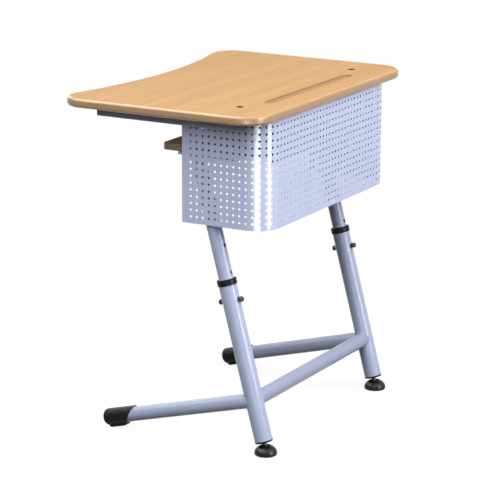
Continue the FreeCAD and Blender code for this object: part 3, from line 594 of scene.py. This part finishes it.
def lock_screws():
    """A threaded shank and a domed head with a hexagon socket; the tip stands by the upper leg."""
    shank, root, tip_radius = 0.0030, 0.0026, 0.0019
    tip, full, first_crest, first_root, seat = 0.0143, 0.0154, 0.0157, 0.0162, 0.0215
    pitch, turns = 0.001, 6
    rings = [(tip_radius, tip), (shank, full)]
    for turn in range(turns):
        rings += [(shank, first_crest + pitch * turn), (root, first_root + pitch * turn)]
    rings.append((root, seat))
    rings += domed_head(radius=0.00525, height=0.0045, socket=0.002, sides=HEXAGON, base=seat)
    for side in SIDES:
        for end, sign in (("front", 1), ("user", -1)):
            name = f"lock_screw_{side}_{end}"
            matrix = frame_along(on_leg(side, LOCK_STATION), ACROSS_LEG * sign)
            points, faces = moved(lathe(rings), matrix)
            piece = mesh_piece(f"lock_screw_domed_{side}_{end}", points, faces, name, "black_steel")
            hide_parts(name)


def screws(node, places, shank, length, head, height, up, sides, slot):
    """A group of fixings that stands for one node."""
    tip_share, socket_share = 0.3, 0.42
    rings = [(shank * tip_share, -length), (shank, -length + shank), (shank, 0.0)]
    rings += domed_head(head, height, head * socket_share, sides)
    direction = Vector((0, 0, 1 if up else -1))
    parts = [moved(lathe(rings), frame_along(Vector(place), direction)) for place in places]
    points, faces = joined(parts)
    piece = mesh_piece(f"{node}_headed", points, faces, "upper_frame", slot)
    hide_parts(node)


def all_screws():
    """The bolts in the top's recesses, and the wood screws under the rails and under the shelf."""
    bolt = {"shank": 0.003, "length": 0.0205, "head": 0.00525, "height": 0.0035,
            "up": True, "sides": HEXAGON, "slot": "black_steel"}
    wood_screw = {"shank": 0.002, "head": 0.004, "height": 0.0025,
                  "up": False, "sides": CROSS, "slot": "zinc_steel"}
    head, seat = wood_screw["head"], wood_screw["height"]
    low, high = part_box("top_bolts")
    bolt_x, bolt_y = high.x - bolt["head"], (low.y + high.y) / 2
    places = [(side * bolt_x, bolt_y, high.z - bolt["height"]) for side in SIDES.values()]
    screws("top_bolts", places, **bolt)
    low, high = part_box("top_screws")
    places = [(side * (high.x - head), (low.y + high.y) / 2, low.z + seat) for side in SIDES.values()]
    screws("top_screws", places, length=0.012, **wood_screw)
    low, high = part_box("shelf_screws")
    places = [(side * (high.x - head), y, low.z + seat)
              for side in SIDES.values() for y in (low.y + head, high.y - head)]
    screws("shelf_screws", places, length=0.016, **wood_screw)


# Levelling feet

# The ball's height over the floor, and how far short of its pole a round form's last ring stops, as an angle
BALL_HEIGHT = 0.010
STEM_POLE, SOCKET_POLE = 0.06, 0.05


def levelling_stems():
    """Threaded stems, each with a slim neck and a ball at its lower end."""
    ball, neck, thread, root = 0.008, 0.004, 0.005, 0.0045
    neck_top, root_start, first_crest, first_root, top = 0.012, 0.0125, 0.0132, 0.01395, 0.0516
    pitch, unthreaded, ball_steps = 0.0015, 0.0145, 12
    lowest = math.pi - STEM_POLE
    rings = []
    for step in range(ball_steps + 1):
        angle = lowest - (lowest - math.asin(neck / ball)) * step / ball_steps
        rings.append((ball * math.sin(angle), ball * math.cos(angle)))
    rings += [(neck, neck_top), (root, root_start)]
    for turn in range(int((top - unthreaded) / pitch)):
        rings += [(thread, first_crest + pitch * turn), (root, first_root + pitch * turn)]
    rings.append((root, top))
    for side in SIDES:
        name = f"levelling_stem_{side}"
        matrix = frame_along(on_leg(side, BALL_HEIGHT / math.cos(TILT)), ALONG_LEG)
        points, faces = moved(lathe(rings, count=32), matrix)
        piece = mesh_piece(f"levelling_thread_{side}", points, faces, name, "black_steel")
        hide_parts(name)


def levelling_pads():
    """Domed pads: the dome rises as one round curve to a narrow mouth, and the socket holds the ball."""
    rim, foot_round, widest, dome_height = 0.0215, 0.0025, 0.0035, 0.016
    mouth, mouth_round, mouth_drop, throat, socket = 0.0082, 0.0006, 0.0003, 0.0070, 0.0083
    steps = 16
    rings = []
    for share in (0.0, 0.25, 0.5, 0.75, 1.0):
        angle = share * math.pi / 2
        rings.append((rim - foot_round * (1 - math.sin(angle)), foot_round * (1 - math.cos(angle))))
    crown = math.acos((mouth + mouth_round) / rim)
    for step in range(steps + 1):
        angle = crown * step / steps
        rings.append((rim * math.cos(angle), widest + dome_height * math.sin(angle)))
    rings.append((mouth, rings[-1][1] - mouth_drop))
    start = math.asin(throat / socket)
    for step in range(steps + 1):
        angle = start + (math.pi - SOCKET_POLE - start) * step / steps
        rings.append((socket * math.sin(angle), BALL_HEIGHT + socket * math.cos(angle)))
    for side in SIDES:
        name = f"levelling_pad_{side}"
        low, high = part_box(name)
        centre = Vector(((low.x + high.x) / 2, (low.y + high.y) / 2, low.z))
        points, faces = moved(lathe(rings, count=64), Matrix.Translation(centre))
        piece = mesh_piece(f"levelling_dome_{side}", points, faces, name, "black_plastic",
                           sharp=50, material=PAD_PLASTIC)
        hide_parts(name)


# Weld beads

def bead(points, radius, closed=True):
    """A rippled round bead along a line of points; an open one tapers at its ends."""
    count, sides = len(points), 8
    ripple, ripple_turn, end_share = 0.07, 1.9, 0.35
    rings, faces, first = [], [], None
    for index, point in enumerate(points):
        before = points[index - 1] if closed or index else point
        after = points[(index + 1) % count] if closed or index < count - 1 else point
        tangent = (after - before).normalized()
        if first is None:
            first = tangent.orthogonal().normalized()
        else:
            first = (first - tangent * first.dot(tangent)).normalized()
        second = tangent.cross(first)
        size = radius * (1 + ripple * math.sin(index * ripple_turn))
        if not closed and index in (0, count - 1):
            size *= end_share
        for k in range(sides):
            angle = 2 * math.pi * k / sides
            rings.append(point + (first * math.cos(angle) + second * math.sin(angle)) * size)
    for index in range(count if closed else count - 1):
        low, high = index * sides, (index + 1) % count * sides
        for k in range(sides):
            after = (k + 1) % sides
            faces.append((low + k, low + after, high + after, high + k))
    if not closed:
        faces.append(tuple(reversed(range(sides))))
        faces.append(tuple(range((count - 1) * sides, count * sides)))
    return rings, faces


BEAD_RADIUS, FINE_BEAD_RADIUS, BEAD_SHARP = 0.0015, 0.0012, 60
SEAM_STEPS = 72
SEAM_ANGLES = [2 * math.pi * k / SEAM_STEPS for k in range(SEAM_STEPS)]


def base_welds():
    """Beads where the foot tube and the stretcher meet each leg."""
    leg, tube, margin, proud, station = 0.017, 0.014, 0.0004, 0.0003, 0.10555
    seam = tube + margin
    parts = []
    for side, sign in SIDES.items():
        centre = on_leg(side, station)
        inward = Vector((-sign, 0, 0))
        foot, stretcher = [], []
        for angle in SEAM_ANGLES:
            across, up = seam * math.cos(angle), seam * math.sin(angle)
            out = math.sqrt(leg ** 2 - across ** 2) + proud
            foot.append(centre - ACROSS_LEG * out + inward * across + ALONG_LEG * up)
            stretcher.append(centre + inward * out + ACROSS_LEG * across + ALONG_LEG * up)
        parts += [bead(foot, BEAD_RADIUS), bead(stretcher, BEAD_RADIUS)]
    points, faces = joined(parts)
    # The beads take the tubes' paint with its painted shade
    mesh_piece("base_weld_beads", points, faces, "base_frame", "silver_paint", BEAD_SHARP, SHADED_TUBE_PAINT)


def upper_welds():
    """Beads where each upper leg meets its rail, and where the cross rail meets the rails."""
    rail_low, rail_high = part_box("rail_right")
    cross_low, cross_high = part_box("cross_rail")
    meet = on_leg("right", rail_low.z / math.cos(TILT))
    radius, rail_round, lift_share, proud = 0.0143, 0.004, 0.4, 0.0002
    corner, start, spacing = 0.003, 0.004, 0.0015
    cross_outline = ((cross_low.y, cross_high.z - start), (cross_low.y, cross_low.z + corner),
                     (cross_low.y + corner, cross_low.z), (cross_high.y - corner, cross_low.z),
                     (cross_high.y, cross_low.z + corner), (cross_high.y, cross_high.z - start))
    parts = []
    for sign in SIDES.values():
        seam = []
        for angle in SEAM_ANGLES:
            x = meet.x + radius * math.cos(angle)
            y = meet.y + radius / math.cos(TILT) * math.sin(angle)
            over = min(max(x - rail_high.x + rail_round, 0), rail_round)
            lift = rail_round - math.sqrt(rail_round ** 2 - over ** 2)
            seam.append(Vector((sign * x, y, rail_low.z + lift_share * lift - proud)))
        parts.append(bead(seam, BEAD_RADIUS))
        path = [Vector((sign * (rail_low.x - proud), y, z)) for y, z in cross_outline]
        fine = []
        for here, after in zip(path, path[1:]):
            pieces = max(2, int((after - here).length / spacing))
            fine += [here.lerp(after, k / pieces) for k in range(pieces)]
        parts.append(bead(fine + [path[-1]], FINE_BEAD_RADIUS, closed=False))
    points, faces = joined(parts)
    mesh_piece("upper_weld_beads", points, faces, "upper_frame", "silver_paint", BEAD_SHARP)


top_board()
perforated_panel()
lock_screws()
all_screws()
levelling_stems()
levelling_pads()
base_welds()
upper_welds()


# Floor, light and camera

WHITE = (1, 1, 1, 1)
SURROUND_LIGHT = 0.085


def background_ray(tree):
    """1 for a ray that shows the background, straight or in gloss or glass, and 0 for other rays."""
    path = add_node(tree, "ShaderNodeLightPath").outputs
    seen = calculate(tree, "MAXIMUM", path["Is Camera Ray"], path["Is Glossy Ray"])
    return calculate(tree, "MAXIMUM", seen, path["Is Transmission Ray"])


def studio_floor():
    """A pale floor: white to the camera, with the desk's soft shadow, and dull to the light on the desk."""
    size, level, shadow_reach, shadow_end = 30.0, -0.0004, 0.6, 1.5
    dull_grey, pale_grey, near_glow = (0.05, 0.05, 0.05, 1), (0.2, 0.2, 0.2, 1), 0.86
    mesh = bpy.data.meshes.new("floor")
    corners = [(-size, -size, level), (size, -size, level), (size, size, level), (-size, size, level)]
    mesh.from_pydata(corners, [], [(0, 1, 2, 3)])
    floor = bpy.data.objects.new("floor", mesh)
    bpy.context.scene.collection.objects.link(floor)
    material, tree, shader = new_material("pale_floor")
    tree.nodes.remove(shader)
    dull = add_node(tree, "ShaderNodeBsdfDiffuse", {"Color": dull_grey}).outputs[0]
    pale = add_node(tree, "ShaderNodeBsdfDiffuse", {"Color": pale_grey}).outputs[0]
    glow = add_node(tree, "ShaderNodeEmission", {"Color": WHITE, "Strength": near_glow}).outputs[0]
    near = add_node(tree, "ShaderNodeAddShader", {0: pale, 1: glow}).outputs[0]
    white = add_node(tree, "ShaderNodeEmission", {"Color": WHITE, "Strength": 1.0}).outputs[0]
    away = add_node(tree, "ShaderNodeVectorMath", {0: place_of(tree)}, operation="LENGTH").outputs["Value"]
    fade = slope(tree, away, shadow_reach, shadow_end)
    shown = add_node(tree, "ShaderNodeMixShader", {0: fade, 1: near, 2: white}).outputs[0]
    mix = add_node(tree, "ShaderNodeMixShader", {0: background_ray(tree), 1: dull, 2: shown}).outputs[0]
    tree.links.new(mix, tree.nodes["Material Output"].inputs["Surface"])
    floor.data.materials.append(material)


def studio_world():
    """A white surround for the camera, and a low, even light on the desk."""
    world = bpy.data.worlds.new("surround")
    bpy.context.scene.world = world
    world.use_nodes = True
    tree = world.node_tree
    back = tree.nodes["Background"]
    strength = slope(tree, background_ray(tree), 0.0, 1.0, low=SURROUND_LIGHT, high=1.0)
    back.inputs["Color"].default_value = WHITE
    tree.links.new(strength, back.inputs["Strength"])


def area_light(name, width, height, power, location, rotation, glossy_only):
    """A rectangular lamp that the camera doesn't see; a glossy-only one shows just as a reflection."""
    light = bpy.data.lights.new(name, "AREA")
    light.shape = "RECTANGLE"
    light.size = width
    light.size_y = height
    light.energy = power
    item = bpy.data.objects.new(name, light)
    item.location = location
    item.rotation_euler = rotation
    item.visible_camera = False
    item.visible_diffuse = not glossy_only
    bpy.context.scene.collection.objects.link(item)


DESK_MIDDLE = (0, 0, 0.35)


def lamp(name, azimuth, elevation, distance, width, height, power, target=DESK_MIDDLE, glossy_only=False):
    """A lamp that faces a target; azimuth is measured from +X to +Y."""
    turn, rise = math.radians(azimuth), math.radians(elevation)
    away = Vector((math.cos(turn) * math.cos(rise), math.sin(turn) * math.cos(rise), math.sin(rise)))
    rotation = away.to_track_quat("Z", "Y").to_euler()
    area_light(name, width, height, power, Vector(target) + away * distance, rotation, glossy_only)


BEND_PLACE = (0.205, 0.156)
GLOW_LEVEL = 0.004


def floor_glow(name, azimuth, spread, radiance):
    """Light panels on the floor, spread like a fan, that show only in gloss, mostly in the bends."""
    turn = math.radians(azimuth)
    for part, near, far in (("near", 1.55, 2.35), ("far", 2.35, 3.4)):
        distance, length = (near + far) / 2, far - near
        width = 2 * distance * math.tan(math.radians(spread / 2))
        power = radiance * math.pi * length * width
        x = BEND_PLACE[0] + distance * math.cos(turn)
        y = BEND_PLACE[1] + distance * math.sin(turn)
        location, rotation = (x, y, GLOW_LEVEL), (math.pi, 0, -turn)
        area_light(f"{name}_{part}", length, width, power, location, rotation, glossy_only=True)


def studio_lights():
    """Two large soft keys, a weak fill from behind, and panels that show only as gloss."""
    lamp("right_key", azimuth=12, elevation=48, distance=3.2, width=2.5, height=3.4, power=96)
    lamp("front_key", azimuth=95, elevation=33, distance=3.2, width=2.6, height=2.4, power=99)
    lamp("back_fill", azimuth=-120, elevation=30, distance=3.2, width=2.0, height=2.0, power=34)
    lamp("edge_glow", azimuth=-60, elevation=53, distance=2.6, width=2.5, height=2.5, power=155,
         target=(0.3, 0, 0.65), glossy_only=True)
    lamp("tube_glow", azimuth=91, elevation=9, distance=3.2, width=1.2, height=0.9, power=75,
         target=(LEG_X, 0.12, 0.3), glossy_only=True)
    floor_glow("wide_glow", azimuth=33, spread=36, radiance=10.5)
    floor_glow("narrow_glow", azimuth=87, spread=13.5, radiance=8)


def camera():
    """The photograph's view, from the desk's right and its panel's side, with a long lens."""
    azimuth, elevation, roll = math.radians(119.0826), math.radians(14.5639), math.radians(0.2343)
    target, distance = Vector((-0.00781, 0.02312, 0.31751)), 4.51954
    back = Vector((math.sin(azimuth) * math.cos(elevation), -math.cos(azimuth) * math.cos(elevation),
                   math.sin(elevation)))
    right = Vector((math.cos(azimuth), math.sin(azimuth), 0))
    up = back.cross(right)
    turned_right = right * math.cos(roll) + up * math.sin(roll)
    turned_up = up * math.cos(roll) - right * math.sin(roll)
    data = bpy.data.cameras.new("camera")
    data.sensor_width = 36.0
    data.sensor_fit = "HORIZONTAL"
    data.lens = 167.316
    data.clip_end = 100
    item = bpy.data.objects.new("camera", data)
    rotation = Matrix((turned_right, turned_up, back)).transposed()
    item.matrix_world = Matrix.Translation(target + back * distance) @ rotation.to_4x4()
    bpy.context.scene.collection.objects.link(item)
    bpy.context.scene.camera = item


studio_floor()
studio_world()
studio_lights()
camera()
bpy.context.scene.view_settings.view_transform = "Standard"
